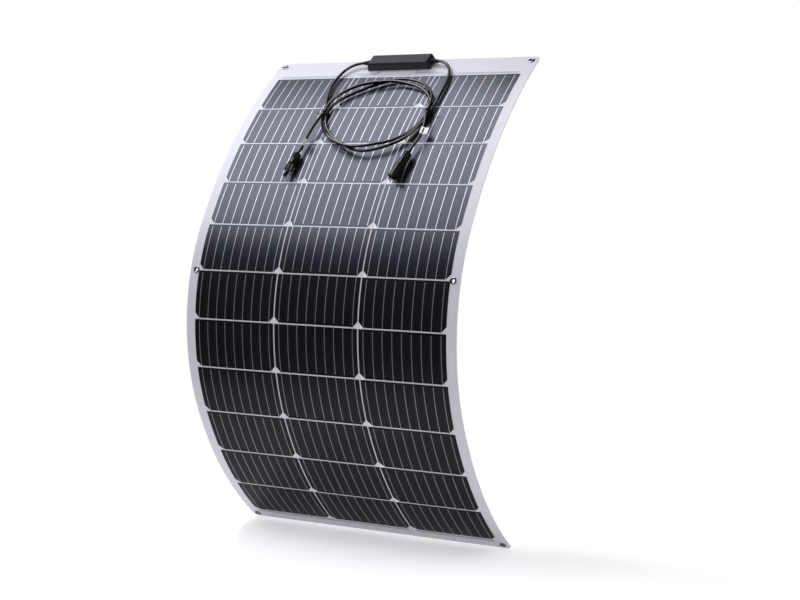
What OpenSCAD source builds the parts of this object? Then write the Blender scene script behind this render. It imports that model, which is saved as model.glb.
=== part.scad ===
// Flexible solar sheet, bent into a standing curve, with its junction box,
// two looped leads and a mating pair of solar connectors.
// X runs across the sheet, the cells face -Y and Z is up.
// The origin is midway between the two middle eyelets, on the rear face.
// A place on the sheet is [u, s, h]: u across it, s down it from the middle
// eyelets, and h out from the rear face towards the side the cells face.

/* [Sheet] */
// Width of the sheet
sheet_w = 540; // [520:1:650]
// Bare margin above the cells, which carries the junction box
margin_top = 52; // [48:1:90]
// Bare margin below the cells
margin_bottom = 30; // [22:1:80]
// Radius of the sheet's corners
corner_r = 10; // [4:1:18]

/* [Bend] */
// How far the sheet leans back at the middle eyelets, in degrees
lean = 15.5; // [0:0.5:40]
// Bend radius of the upper part, at the rear face
bend_r_upper = 850; // [500:10:3000]
// Bend radius of the middle part, at the rear face
bend_r_middle = 380; // [300:10:3000]
// Bend radius of the lower part, at the rear face
bend_r_lower = 560; // [300:10:3000]

/* [Cells] */
// Width of a half-cut cell
cell_w = 166; // [150:0.5:170]
// Height of a half-cut cell
cell_h = 83; // [75:0.5:85]
// Gap between neighbouring cells
cell_gap = 2.5; // [1.5:0.1:5]
// Chamfer on each cell's two lower corners
cell_chamfer = 9; // [2:0.5:15]
// Ribbons on each cell
ribbon_count = 9; // [3:1:12]
// Width of a cell ribbon
ribbon_w = 1.2; // [0.6:0.1:2]
// Width of a bus ribbon
bus_w = 4; // [2:0.5:6]

/* [Laminate thicknesses] */
// Fibreglass backsheet
back_t = 1.2; // [0.6:0.1:2]
// Encapsulant under the cells
rear_glue_t = 0.35; // [0.3:0.05:0.8]
// Solar cell
cell_t = 0.18; // [0.12:0.02:0.3]
// Cell ribbon
ribbon_t = 0.15; // [0.1:0.01:0.25]
// Encapsulant over the cells
front_glue_t = 0.37; // [0.3:0.01:0.8]
// Clear front film
film_t = 0.1; // [0.05:0.01:0.3]

/* [Eyelets] */
// Bore of an eyelet
eyelet_bore = 6; // [5:0.5:8]
// Diameter of an eyelet's flange
eyelet_flange = 12; // [11:0.5:16]
// Wall of an eyelet's barrel
eyelet_wall = 0.5; // [0.3:0.1:0.8]
// Distance of an eyelet's axis from the sheet's edges
eyelet_inset = 13; // [11:0.5:17]

/* [Junction box] */
// Length of the box along the top edge, at its foot
box_l = 130; // [110:1:160]
// Depth of the box, down the sheet
box_d = 27; // [24:1:30]
// Height of the box above its pad
box_t = 15; // [13:0.5:20]
// How far each end wall leans in
box_slope = 4; // [0:0.5:6]
// Wall thickness
box_wall = 1.8; // [1.2:0.1:2.4]
// Thickness of the lid's top plate
lid_t = 2; // [1.2:0.1:3]
// Distance from the sheet's top edge to the box
box_edge = 5; // [2:0.5:12]
// Thickness of the adhesive pad under the box
pad_t = 0.6; // [0.3:0.1:1.5]

/* [Leads and connectors] */
// Diameter of a lead
cable_d = 5.5; // [4.5:0.1:5.6]
// Diameter of a connector's gland nut
nut_d = 15; // [13:0.5:16]
// Diameter of the plug's slim nose
nose_d = 8.6; // [7.5:0.1:9]
// Diameter of the socket's barrel
barrel_d = 18.5; // [17:0.5:19]
// Radial gap round the nose when it is mated in the socket
mate_gap = 0.1; // [0.05:0.05:0.3]
// Diameter of an electrical contact
contact_d = 3; // [2:0.1:3.4]

/* [Hidden] */
$fn = 48;
eps = 0.01;

// --- the bent sheet's own measure ---------------------------------------
columns = 3;
rows = 11;
rows_above = 5;                     // rows between the top and the eyelets
pitch_u = cell_w + cell_gap;
pitch_s = cell_h + cell_gap;
cells_top = -rows_above * pitch_s + cell_gap / 2;
cells_bottom = (rows - rows_above) * pitch_s - cell_gap / 2;
cells_half = (columns * pitch_u - cell_gap) / 2;
s_top = cells_top - margin_top;
s_bottom = cells_bottom + margin_bottom;
// the three arcs meet in the gaps under rows 4 and 8
radii = [bend_r_upper, bend_r_middle, bend_r_lower];
joins = [(4 - rows_above) * pitch_s, (8 - rows_above) * pitch_s];

function turn(length, radius) = length / radius * 180 / PI;
function facing(a) = [-cos(a), -sin(a)];
join_a = [-lean + turn(joins[0], radii[1]), -lean + turn(joins[1], radii[1])];
middle_c = -radii[1] * facing(-lean);
centres = [middle_c + (radii[1] - radii[0]) * facing(join_a[0]), middle_c,
           middle_c + (radii[1] - radii[2]) * facing(join_a[1])];

function zone(s) = s < joins[0] ? 0 : s < joins[1] ? 1 : 2;
function slant(s) = let (z = zone(s)) z == 0 ? join_a[0] + turn(s - joins[0], radii[0])
                                    : z == 1 ? -lean + turn(s, radii[1])
                                    : join_a[1] + turn(s - joins[1], radii[2]);
function place(p) = let (z = zone(p[1]), yz = centres[z] + (radii[z] + p[2]) * facing(slant(p[1])))
  [p[0], yz[0], yz[1]];

// The laminate is made of flats, five to a row of cells and each tangent to
// the arcs at its middle, so that every layer folds along the same lines.
flat = pitch_s / 5;
function flat_of(s) = round(s / flat);
function flat_out(s) = facing(slant(flat_of(s) * flat));
// the fold between a flat and the next one down, at height h
function fold(k, h) = let (s = (k + 0.5) * flat, z = zone(s))
  centres[z] + (radii[z] + h) / cos(turn(flat / 2, radii[z])) * facing(slant(s));
// the side view of a place on the flats
function spot(s, h = 0) = let (k = flat_of(s), t = s / flat - k + 0.5)
  (1 - t) * fold(k - 1, h) + t * fold(k, h);

// children in the frame of a place: x across, y up the sheet, z out of it
module at(u, s, h = 0) translate(concat(u, spot(s) + h * flat_out(s)))
  rotate([90 + slant(flat_of(s) * flat), 0, 0]) children();

// a slab of the laminate between two heights
module slab(s0, s1, u0, u1, h0, h1) {
  folds = [floor((s0 + 0.05) / flat - 0.5) + 1, ceil((s1 - 0.05) / flat - 0.5) - 1];
  translate([u0, 0, 0]) rotate([90, 0, 90]) linear_extrude(u1 - u0) polygon(concat(
    [spot(s0, h0)], [for (k = [folds[0]:1:folds[1]]) fold(k, h0)], [spot(s1, h0)],
    [spot(s1, h1)], [for (k = [folds[1]:-1:folds[0]]) fold(k, h1)], [spot(s0, h1)]));
}

// --- heights of the layers ----------------------------------------------
h_glue = back_t;
h_under = h_glue + rear_glue_t;     // rear run of the ribbons
h_cell = h_under + ribbon_t;
h_over = h_cell + cell_t;           // front run of the ribbons
h_cover = h_over + ribbon_t;
h_film = h_cover + front_glue_t;
h_front = h_film + film_t;
h_split = (h_under + h_cover) / 2;  // where the two encapsulants meet
edge_gap = 1.5;                     // round the cells and bus ribbons
bus_gap = 4;                        // from the cells to the bus ribbons
bus_top_s = cells_top - bus_gap - bus_w;
bus_bottom_s = cells_bottom + bus_gap;
run_s = bus_top_s - bus_w - 1.5;    // the leads' run under the box's edge

// --- eyelets -------------------------------------------------------------
eyelet_u = sheet_w / 2 - eyelet_inset;
eyelet_rows = [s_top + eyelet_inset, 0, s_bottom - eyelet_inset];
barrel_r = eyelet_bore / 2 + eyelet_wall;
flange_t = 0.8;
washer_t = 0.5;
washer_gap = 0.02;

module each_eyelet() for (s = eyelet_rows, side = [-1, 1]) at(side * eyelet_u, s) children();

// one full layer of the laminate, with round corners and eyelet holes
corner_bite = 0.05;                 // each corner's arc meets the edge at a slight angle
module layer(h0, h1) difference() {
  slab(s_top, s_bottom, -sheet_w / 2, sheet_w / 2, h0, h1);
  for (side = [-1, 1], end = [0, 1])
    at(side * (sheet_w / 2 - corner_r), end == 0 ? s_top + corner_r : s_bottom - corner_r, h0 - 2)
      mirror([side < 0 ? 1 : 0, 0, 0]) mirror([0, end, 0]) translate([corner_bite, corner_bite, 0])
        linear_extrude(h1 - h0 + 4) difference() {
          square(2 * corner_r);
          circle(corner_r);
        }
  each_eyelet() translate([0, 0, h0 - 2]) cylinder(r = barrel_r, h = h1 - h0 + 4);
}

// the pocket that the cells, ribbons and leads fill
module pocket(h0, h1) {
  slab(run_s - edge_gap, bus_bottom_s + bus_w + edge_gap,
       -cells_half - edge_gap, cells_half + edge_gap, h0, h1);
  for (side = [-1, 1])
    slab(lead_s - slot_d / 2, run_s, side * lead_u - lead_w, side * lead_u + lead_w, h0, h1);
}

// --- sheet layers --------------------------------------------------------
module front_film() color([0.86, 0.87, 0.9, 0.3]) difference() {
  layer(h_film, h_front);
  lead_slots(h_film - 1, h_front + 1);
}
module front_encapsulant() color([0.9, 0.92, 0.95, 0.4]) difference() {
  layer(h_split, h_film);
  pocket(h_split - 0.5, h_cover);
  lead_slots(h_split - 1, h_film + 1);
}
module rear_encapsulant() color("whitesmoke") difference() {
  layer(h_glue, h_split);
  pocket(h_under, h_split + 0.5);
  slab(run_s, bus_bottom_s + bus_w, return_u - strip_w / 2, return_u + strip_w / 2, h_glue - 0.5, h_under + 0.1);
}
module backsheet() color("white") layer(0, back_t);

// --- cells ---------------------------------------------------------------
function column_u(c) = (c - (columns - 1) / 2) * pitch_u;
function row_s(r) = cells_top + r * pitch_s;

module cell(c, r) difference() {
  slab(row_s(r), row_s(r) + cell_h, column_u(c) - cell_w / 2, column_u(c) + cell_w / 2, h_cell, h_over);
  for (side = [-1, 1])
    at(column_u(c) + side * cell_w / 2, row_s(r) + cell_h, h_cell - 1)
      linear_extrude(cell_t + 2) polygon(cell_chamfer * [[-2 * side, -1], [side, 2], [2 * side, -2]]);
}
module cell_string(c) color([0.07, 0.08, 0.12]) for (r = [0:rows - 1]) cell(c, r);
module cells_left() cell_string(0);
module cells_middle() cell_string(1);
module cells_right() cell_string(2);

// --- ribbons -------------------------------------------------------------
ribbon_bare = 3.5;                  // bare cell before each ribbon's end

// a slab, turned end for end in the string that runs the other way
module run(flip, s0, s1, u, h0, h1)
  if (flip) slab(cells_top + cells_bottom - s1, cells_top + cells_bottom - s0, u, u + ribbon_w, h0, h1);
  else slab(s0, s1, u, u + ribbon_w, h0, h1);

// one ribbon's two runs: on the front of one cell, then behind the next
module ribbon(flip, r, u) {
  low = row_s(r) + cell_h;
  if (r >= 0)
    run(flip, row_s(r) + ribbon_bare, r == rows - 1 ? bus_bottom_s + bus_w : low + 0.45 * cell_gap, u, h_over, h_cover);
  if (r < rows - 1)
    run(flip, r < 0 ? bus_top_s : low + 0.55 * cell_gap, low + pitch_s - ribbon_bare, u, h_under, h_cell);
}
module string_ribbons(c) color("silver")
  for (r = [-1:rows - 1], n = [0:ribbon_count - 1])
    ribbon(c % 2 == 1, r, column_u(c) + ((n + 0.5) / ribbon_count - 0.5) * cell_w - ribbon_w / 2);
module ribbons_left() string_ribbons(0);
module ribbons_middle() string_ribbons(1);
module ribbons_right() string_ribbons(2);

// --- bus ribbons and the leads into the box -------------------------------
box_s = s_top + box_edge + box_d / 2;
box_foot = h_front + pad_t;
box_floor = 2;
lead_u = 40;                        // where the leads rise into the box
lead_w = 5;
lead_s = box_s + 6;
lead_t = 0.6;
slot_d = 3;
return_u = column_u(2) - cell_w / 2 + 6;
return_t = 0.2;
strip_w = 8;
bus_end = 6;                        // bare corner past each bus ribbon

module bus(s, u0, u1) slab(s, s + bus_w, u0, u1, h_cell, h_over);
// along under the box's edge, up to the slot and out through the film
module lead(side, from_u) {
  slab(run_s, run_s + bus_w, min(side * lead_u - lead_w / 2, side * from_u - bus_w / 2),
       max(side * lead_u + lead_w / 2, side * from_u + bus_w / 2), h_cell, h_over);
  slab(lead_s, run_s + bus_w, side * lead_u - lead_w / 2, side * lead_u + lead_w / 2, h_cell, h_over);
  at(side * lead_u, lead_s, h_cell)
    translate([-lead_w / 2, -lead_t / 2, 0]) cube([lead_w, lead_t, box_foot + terminal_z - h_cell]);
}
module lead_slots(h0, h1) for (side = [-1, 1])
  at(side * lead_u, lead_s, h0)
    translate([-lead_w / 2 - 1, -slot_d / 2, 0]) cube([lead_w + 2, slot_d, h1 - h0]);

module bus_top_left() color("silver") {
  bus(bus_top_s, -cells_half + bus_end, -return_u + bus_w / 2);
  slab(run_s, bus_top_s + bus_w, -return_u - bus_w / 2, -return_u + bus_w / 2, h_cell, h_over);
  lead(-1, return_u);
}
module bus_top_right() color("silver")
  bus(bus_top_s, column_u(1) - cell_w / 2 + bus_end, cells_half - bus_end);
module bus_bottom_left() color("silver")
  bus(bus_bottom_s, -cells_half + bus_end, column_u(1) + cell_w / 2 - bus_end);
module bus_bottom_right() color("silver") {
  bus(bus_bottom_s, return_u - bus_w / 2, cells_half - bus_end);
  slab(bus_bottom_s, bus_bottom_s + bus_w, return_u - bus_w / 2, return_u + bus_w / 2, h_glue + return_t, h_over);
}
module return_ribbon() color("silver") {
  slab(run_s, bus_bottom_s + bus_w, return_u - bus_w / 2, return_u + bus_w / 2, h_glue, h_glue + return_t);
  slab(run_s, run_s + bus_w, return_u - bus_w / 2, return_u + bus_w / 2, h_glue, h_over);
  lead(1, return_u);
}
module insulation_strip() color("ivory")
  slab(run_s + bus_w + 0.5, bus_bottom_s - 0.5, return_u - strip_w / 2, return_u + strip_w / 2, h_glue + return_t, h_under);

// --- eyelets and their washers --------------------------------------------
module eyelets() color("silver") each_eyelet() {
  translate([0, 0, -washer_gap - washer_t]) difference() {
    union() {
      cylinder(r = barrel_r, h = h_front + washer_gap + washer_t + flange_t / 2);
      translate([0, 0, h_front + washer_gap + washer_t]) cylinder(d1 = eyelet_flange, d2 = eyelet_flange - 1.2, h = flange_t);
    }
    translate([0, 0, -1]) cylinder(d = eyelet_bore, h = h_front + 6);
    translate([0, 0, h_front + washer_gap + washer_t + flange_t / 2]) cylinder(d1 = eyelet_bore, d2 = eyelet_bore + 1.6, h = flange_t / 2 + eps);
  }
}
module eyelet_washers() color("silver") each_eyelet()
  translate([0, 0, -washer_gap - washer_t]) difference() {
    cylinder(d = eyelet_flange - 0.5, h = washer_t);
    translate([0, 0, -1]) cylinder(r = barrel_r, h = washer_t + 2);
  }

// --- junction box ---------------------------------------------------------
seam_z = box_t - lid_t;             // where the lid sits on the base
terminal_z = 3;
terminal_t = 2.4;
function box_x(z, inset) = box_l / 2 - inset - box_slope * z / box_t;

// the box's long prism between two heights, with leaning end walls
module box_prism(z0, z1, inset = 0) rotate([90, 0, 0])
  linear_extrude(box_d - 2 * inset, center = true)
    polygon([[-box_x(z0, inset), z0], [box_x(z0, inset), z0], [box_x(z1, inset), z1], [-box_x(z1, inset), z1]]);
module on_box() at(0, box_s, box_foot) children();
// children along X at the height of a lead's exit
module at_exit(p) translate(place([0, p[1], p[2]])) rotate([0, p[0] < 0 ? -90 : 90, 0]) children();

module box_pad() color([0.15, 0.15, 0.16]) difference() {
  slab(box_s - box_d / 2 + 1, box_s + box_d / 2 - 1, -box_l / 2 + 1, box_l / 2 - 1, h_front, box_foot + 1);
  on_box() translate([-box_l, -box_d, 0]) cube([2 * box_l, 2 * box_d, 4]);
  lead_slots(h_front - 1, box_foot + 1);
}
module box_base() color([0.09, 0.09, 0.1]) difference() {
  on_box() difference() {
    box_prism(0, seam_z);
    box_prism(box_floor, seam_z + 1, box_wall);
  }
  lead_slots(box_foot - 1, box_foot + box_floor + 1);
  for (route = [left_route, right_route]) at_exit(route[0]) cylinder(r = boot_neck_r, h = box_l);
}
module box_lid() color([0.12, 0.12, 0.13]) on_box() {
  bevel = min(1, lid_t / 2);
  hull() {
    box_prism(seam_z, box_t - bevel);
    box_prism(box_t - bevel, box_t, bevel);
  }
  difference() {                    // the lip inside the walls
    box_prism(seam_z - 1.5, seam_z, box_wall + 0.1);
    box_prism(seam_z - 2, seam_z + 1, box_wall + 1.2);
  }
}
module terminal_plates() on_box() for (side = [-1, 1])
  translate([side < 0 ? -box_x(0, 12) : 6, -box_d / 2 + 5, terminal_z]) cube([box_x(0, 12) - 6, box_d - 10, terminal_t]);
module diode_body() on_box() translate([-10, -5, terminal_z + terminal_t]) cube([20, 10, 3]);
module core_ends() for (route = [left_route, right_route]) at_exit(route[0])
  translate([0, 0, abs(route[0][0]) - core_l]) cylinder(r = core_r, h = core_l);

module box_terminals() color("goldenrod") terminal_plates();
module bypass_diodes() color([0.1, 0.1, 0.1]) diode_body();
module cable_cores() color("chocolate") core_ends();
module box_potting() color([0.2, 0.2, 0.22]) difference() {
  on_box() box_prism(box_floor, potting_z, box_wall);
  terminal_plates();
  diode_body();
  core_ends();
  for (side = [-1, 1]) at(side * lead_u, lead_s, box_foot)
    translate([-lead_w / 2, -lead_t / 2, 0]) cube([lead_w, lead_t, terminal_z]);
  for (route = [left_route, right_route]) at_exit(route[0])
    translate([0, 0, abs(route[0][0])]) cylinder(r = boot_neck_r, h = box_l);
}
potting_z = 11;

// --- strain relief boots --------------------------------------------------
boot_neck_r = 4;
boot_l = 12;                        // outside the end wall
module boot(route) at_exit(route[0]) difference() {
  union() {
    translate([0, 0, abs(route[0][0])]) cylinder(r = boot_neck_r, h = box_l / 2 - abs(route[0][0]));
    translate([0, 0, box_l / 2]) cylinder(r1 = 5, r2 = cable_d / 2 + 0.8, h = boot_l);
  }
  cylinder(d = cable_d, h = box_l);
}
module boot_left() color([0.1, 0.1, 0.11]) boot(left_route);
module boot_right() color([0.1, 0.1, 0.11]) boot(right_route);

// --- the two leads --------------------------------------------------------
// Each runs from its end of the box to its tie, once round the loop and out
// past the tie again to its connector.
core_r = 1.2;
core_l = 14;
left_route = [
  [-60, -460, 10], [-80, -460, 10], [-97, -455, 9], [-109, -442, 8], [-115, -424, 7],
  [-117, -402, 7], [-114, -380, 7], [-109, -359, 7], [-103, -340, 7], [-98, -322, 7],
  [-93, -303, 8], [-79, -281, 12], [-59, -261, 16], [-34, -246, 18], [-6, -237, 19],
  [20, -237, 19], [44, -242, 18], [67, -250, 15], [87, -264, 12], [101, -283, 9],
  [109, -303, 7], [113, -322, 7], [110, -342, 7], [101, -361, 7], [86, -377, 7],
  [66, -389, 8], [43, -397, 9], [18, -402, 10], [-7, -400, 12], [-31, -396, 13],
  [-54, -387, 14], [-74, -372, 14], [-88, -354, 14], [-95, -337, 13], [-95, -322, 13],
  [-98, -301, 15], [-102, -281, 14], [-106, -261, 12], [-108, -240, 11], [-112, -217, 11]];
right_route = [
  [60, -460, 10], [80, -460, 10], [95, -453, 9], [107, -440, 8], [115, -421, 7],
  [119, -400, 7], [120, -379, 7], [120, -359, 7], [120, -340, 7], [119, -322, 7],
  [115, -301, 8], [106, -280, 10], [93, -260, 11], [73, -245, 13], [50, -236, 13],
  [26, -231, 13], [2, -234, 13], [-20, -244, 12], [-42, -256, 11], [-62, -271, 9],
  [-77, -287, 7], [-87, -304, 7], [-92, -322, 7], [-90, -340, 7], [-80, -357, 7],
  [-64, -372, 7], [-45, -385, 7], [-24, -397, 7], [0, -407, 7], [24, -411, 8],
  [48, -406, 9], [71, -397, 10], [91, -383, 11], [106, -364, 12], [114, -343, 13],
  [116, -322, 13], [121, -302, 15], [125, -283, 15], [125, -262, 14], [118, -240, 13], [113, -218, 13]];

function unit(v) = v / norm(v);
function out_of(s) = concat([0], facing(slant(s)));

// one round tube through a route's points, a ring at each
cable_sides = 12;
module tube(route, d) {
  p = [for (q = route) place(q)];
  last = len(p) - 1;
  rings = [for (i = [0:last])
    let (z = unit(p[min(i + 1, last)] - p[max(i - 1, 0)]),
         x = unit(cross(out_of(route[i][1]), z)), y = cross(z, x))
    [for (k = [0:cable_sides - 1]) let (a = k * 360 / cable_sides) p[i] + d / 2 * (cos(a) * x + sin(a) * y)]];
  polyhedron([for (r = rings) each r],
    concat([[for (k = [0:cable_sides - 1]) k]],
      [for (i = [0:last - 1], k = [0:cable_sides - 1]) let (n = (k + 1) % cable_sides, b = i * cable_sides)
        each [[b + k, b + cable_sides + k, b + n], [b + n, b + cable_sides + k, b + cable_sides + n]]],
      [[for (k = [cable_sides - 1:-1:0]) last * cable_sides + k]]));
}
module cable_left() color([0.06, 0.06, 0.06]) tube(left_route, cable_d);
module cable_right() color([0.06, 0.06, 0.06]) tube(right_route, cable_d);

// children at point q of a route, z along the line from p to q, y off the sheet
module along(p, q) {
  z = unit(place(q) - place(p));
  x = unit(cross(out_of(q[1]), z));
  y = cross(z, x);
  o = place(q);
  multmatrix([[x[0], y[0], z[0], o[0]], [x[1], y[1], z[1], o[1]], [x[2], y[2], z[2], o[2]]]) children();
}

// --- ties and labels ------------------------------------------------------
tie_band = 0.7;
tie_w = 4;
tie_room = 0.7;
tail_r = 0.6;
tail_l = 11;
module bundle(strands, r) hull() for (q = strands) translate([q[0], q[2]]) circle(r = r, $fn = 24);
module tie(strands, side) {
  s = strands[0][1];
  low = min([for (q = strands) q[2]]);
  edge = side * max([for (q = strands) side * q[0]]) + side * (cable_d / 2 + tie_room);
  at(0, s) rotate([90, 0, 0]) {
    linear_extrude(tie_w, center = true) difference() {
      bundle(strands, cable_d / 2 + tie_room + tie_band);
      bundle(strands, cable_d / 2 + tie_room);
    }
    for (tail = [-1, 1]) translate([edge + side * tie_band / 2, low, tail * (tail_r + 0.2)])
      rotate([-10, side * 90, 0]) cylinder(r = tail_r, h = tail_l, $fn = 16);
  }
}
module tie_left() color([0.05, 0.05, 0.05]) tie([left_route[9], right_route[22], left_route[34]], -1);
module tie_right() color([0.05, 0.05, 0.05]) tie([right_route[9], left_route[21], right_route[35]], 1);

label_l = 14;
label_w = 11;
module label(p, q, swing) along(p, q)
  translate([0, 0, -norm(place(q) - place(p)) / 2 - label_l / 2]) difference() {
    union() {
      cylinder(d = cable_d + 1, h = label_l);
      rotate(swing) translate([0, -0.4, 0]) cube([cable_d / 2 + label_w - 2, 0.8, label_l]);
    }
    translate([0, 0, -1]) cylinder(d = cable_d, h = label_l + 2);
  }
module label_left() color("white") label(left_route[37], left_route[38], 60);
module label_right() color("white") label(right_route[37], right_route[38], 0);

// --- connectors -----------------------------------------------------------
// Each is drawn from its cable mouth at z = 0 to its front end.
entry = 10;                         // how far the lead goes in
nut_l = 15;
thread_r = nut_d / 2 - 1.9;
seal_z = 3.5;
shoulder_z = nut_l + 0.3;
contact_z = entry + 2;
plug_shoulder_l = 9;
nose_l = 26;
nose_step = 13;                     // the nose is slimmer past here
step_r = 0.5;
latch_l = 13;
latch_root = 1.1;                   // the bend's axis, above the shoulder
latch_reach = latch_root + latch_l;
barb_z = 8;
latch_w = 6;
latch_t = 1.8;
latch_barb = 1.3;
latch_x = nose_d / 2 + 1.1;         // the leg's inner face
nose_z = shoulder_z + plug_shoulder_l;
socket_l = 55;
socket_shoulder_l = 13;
mouth_l = 4;                        // room for the o-ring
ring_t = 2.2;
ring_r = nose_d / 2 + 0.75;

module at_plug() along(left_route[len(left_route) - 2], left_route[len(left_route) - 1]) translate([0, 0, -entry]) children();
module at_socket() along(right_route[len(right_route) - 2], right_route[len(right_route) - 1]) translate([0, 0, -entry]) children();

module gland_nut() difference() {
  union() {
    cylinder(r1 = nut_d / 2 - 2.5, r2 = nut_d / 2, h = 4);
    translate([0, 0, 4]) cylinder(d = nut_d, h = nut_l - 4);
  }
  for (k = [0:11]) rotate(30 * k) translate([nut_d / 2 + 0.6, 0, -1]) cylinder(r = 1.2, h = nut_l + 2, $fn = 16);
  translate([0, 0, -1]) cylinder(d = cable_d + 0.8, h = nut_l);
  translate([0, 0, seal_z - 0.1]) cylinder(r = thread_r + 0.05, h = nut_l);
}
module gland_seal() difference() {
  translate([0, 0, seal_z]) cylinder(r = thread_r - 0.2, h = entry - seal_z);
  translate([0, 0, seal_z - 1]) cylinder(d = cable_d, h = entry);
}
module contact(l, tip) translate([0, 0, contact_z]) {
  cylinder(d = contact_d, h = l - tip);
  translate([0, 0, l - tip]) cylinder(d1 = contact_d, d2 = contact_d - 1, h = tip);
}
// a leg that bends at its round root, with a barb near its tip
module latch() translate([latch_x, latch_w / 2, nose_z + latch_root]) rotate([90, 0, 0]) linear_extrude(latch_w) {
  translate([latch_t / 2, 0]) circle(latch_t / 2);
  polygon([[0, 0], [latch_t, 0], [latch_t, barb_z], [latch_t + latch_barb, barb_z + 0.4],
           [latch_t + latch_barb, barb_z + 1.6], [latch_t, latch_l], [0, latch_l]]);
}

module plug_nut() color([0.07, 0.07, 0.07]) at_plug() gland_nut();
module plug_seal() color([0.2, 0.2, 0.2]) at_plug() gland_seal();
module plug_body() color([0.06, 0.06, 0.06]) at_plug() difference() {
  union() {
    translate([0, 0, entry]) cylinder(r = thread_r, h = shoulder_z + 1 - entry);
    translate([0, 0, shoulder_z]) intersection() {
      cylinder(d = nut_d, h = plug_shoulder_l);
      translate([-nut_d, -nut_d / 2 + 1, 0]) cube([2 * nut_d, nut_d - 2, plug_shoulder_l]);
    }
    translate([0, 0, nose_z]) cylinder(d = nose_d, h = nose_step);
    translate([0, 0, nose_z]) cylinder(r = nose_d / 2 - step_r, h = nose_l);
  }
  translate([0, 0, entry - 1]) cylinder(d = contact_d, h = nose_l + 60);
}
module plug_o_ring() color([0.15, 0.15, 0.15]) at_plug() translate([0, 0, nose_z + 1]) difference() {
  translate([0, 0, ring_t / 2]) rotate_extrude() translate([ring_r - ring_t / 2, 0]) circle(d = ring_t);
  translate([0, 0, -1]) cylinder(d = nose_d, h = ring_t + 2);
}
module plug_contact() color("silver") at_plug() contact(nose_z + nose_l - contact_z - 2, 1);
module plug_latch_left() color([0.08, 0.08, 0.08]) at_plug() mirror([1, 0, 0]) latch();
module plug_latch_right() color([0.08, 0.08, 0.08]) at_plug() latch();

module socket_nut() color([0.07, 0.07, 0.07]) at_socket() gland_nut();
module socket_seal() color([0.2, 0.2, 0.2]) at_socket() gland_seal();
module socket_body() color([0.06, 0.06, 0.06]) at_socket() difference() {
  union() {
    translate([0, 0, entry]) cylinder(r = thread_r, h = nut_l);
    translate([0, 0, shoulder_z]) cylinder(d = nut_d + 1, h = socket_shoulder_l);
    translate([0, 0, shoulder_z + socket_shoulder_l]) cylinder(d1 = nut_d + 1, d2 = barrel_d, h = 2);
    translate([0, 0, shoulder_z + socket_shoulder_l + 2])
      cylinder(d = barrel_d, h = socket_l - shoulder_z - socket_shoulder_l - 2);
  }
  translate([0, 0, entry - 1]) cylinder(d = contact_d, h = socket_l);
  translate([0, 0, socket_l - nose_l - 1]) cylinder(r = nose_d / 2 - step_r + mate_gap, h = nose_l + 2);
  translate([0, 0, socket_l - nose_step]) cylinder(r = nose_d / 2 + mate_gap, h = nose_step + 1);
  translate([0, 0, socket_l - mouth_l]) cylinder(r = ring_r + 0.1, h = mouth_l + 1);
  for (side = [-1, 1]) {            // slots for the latch legs and their windows
    translate([side < 0 ? -latch_x - latch_t - latch_barb : latch_x - 0.3, -latch_w / 2 - 0.3, socket_l - latch_reach - 1])
      cube([latch_t + latch_barb + 0.3, latch_w + 0.6, latch_reach + 2]);
    translate([side < 0 ? -barrel_d : latch_x, -latch_w / 2 - 0.3, socket_l - latch_reach - 1])
      cube([barrel_d - latch_x, latch_w + 0.6, 6]);
  }
}
module socket_contact() color("silver") at_socket() contact(socket_l - nose_step - 1 - contact_z, 2);

front_film();
front_encapsulant();
rear_encapsulant();
backsheet();
cells_left();
cells_middle();
cells_right();
ribbons_left();
ribbons_middle();
ribbons_right();
bus_top_left();
bus_top_right();
bus_bottom_left();
bus_bottom_right();
return_ribbon();
insulation_strip();
eyelets();
eyelet_washers();
box_pad();
box_base();
box_lid();
box_potting();
box_terminals();
bypass_diodes();
cable_cores();
boot_left();
boot_right();
cable_left();
cable_right();
tie_left();
tie_right();
label_left();
label_right();
plug_nut();
plug_seal();
plug_body();
plug_o_ring();
plug_contact();
plug_latch_left();
plug_latch_right();
socket_nut();
socket_seal();
socket_body();
socket_contact();
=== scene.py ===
# The looks of a flexible solar sheet that stands bent, with its junction box,
# its two looped leads and their mating pair of connectors.
# Everything is in metres in the part's own frame; lengths named *_mm are in
# millimetres, and mm turns them into metres.

import math

import bmesh
import bpy
from mathutils import Matrix, Vector


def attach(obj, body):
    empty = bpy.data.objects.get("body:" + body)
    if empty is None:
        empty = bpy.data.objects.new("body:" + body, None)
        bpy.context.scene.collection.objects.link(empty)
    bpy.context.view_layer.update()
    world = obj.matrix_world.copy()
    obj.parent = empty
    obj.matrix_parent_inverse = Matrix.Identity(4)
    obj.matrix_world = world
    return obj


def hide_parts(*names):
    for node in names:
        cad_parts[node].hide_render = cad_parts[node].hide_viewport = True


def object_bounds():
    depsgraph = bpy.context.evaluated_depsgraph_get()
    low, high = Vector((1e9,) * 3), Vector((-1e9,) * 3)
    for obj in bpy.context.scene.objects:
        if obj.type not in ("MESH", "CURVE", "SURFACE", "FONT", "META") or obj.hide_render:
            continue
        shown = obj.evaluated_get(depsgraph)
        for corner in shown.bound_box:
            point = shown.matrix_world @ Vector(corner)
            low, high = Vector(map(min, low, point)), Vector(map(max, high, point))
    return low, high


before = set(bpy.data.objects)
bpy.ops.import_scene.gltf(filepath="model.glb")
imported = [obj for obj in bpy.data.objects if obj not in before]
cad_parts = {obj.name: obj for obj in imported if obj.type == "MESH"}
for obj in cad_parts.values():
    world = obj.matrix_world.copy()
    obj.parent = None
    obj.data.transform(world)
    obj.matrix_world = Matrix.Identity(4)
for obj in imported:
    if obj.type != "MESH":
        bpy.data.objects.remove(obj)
cad_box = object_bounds()
mm = 0.001
scene = bpy.context.scene


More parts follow.
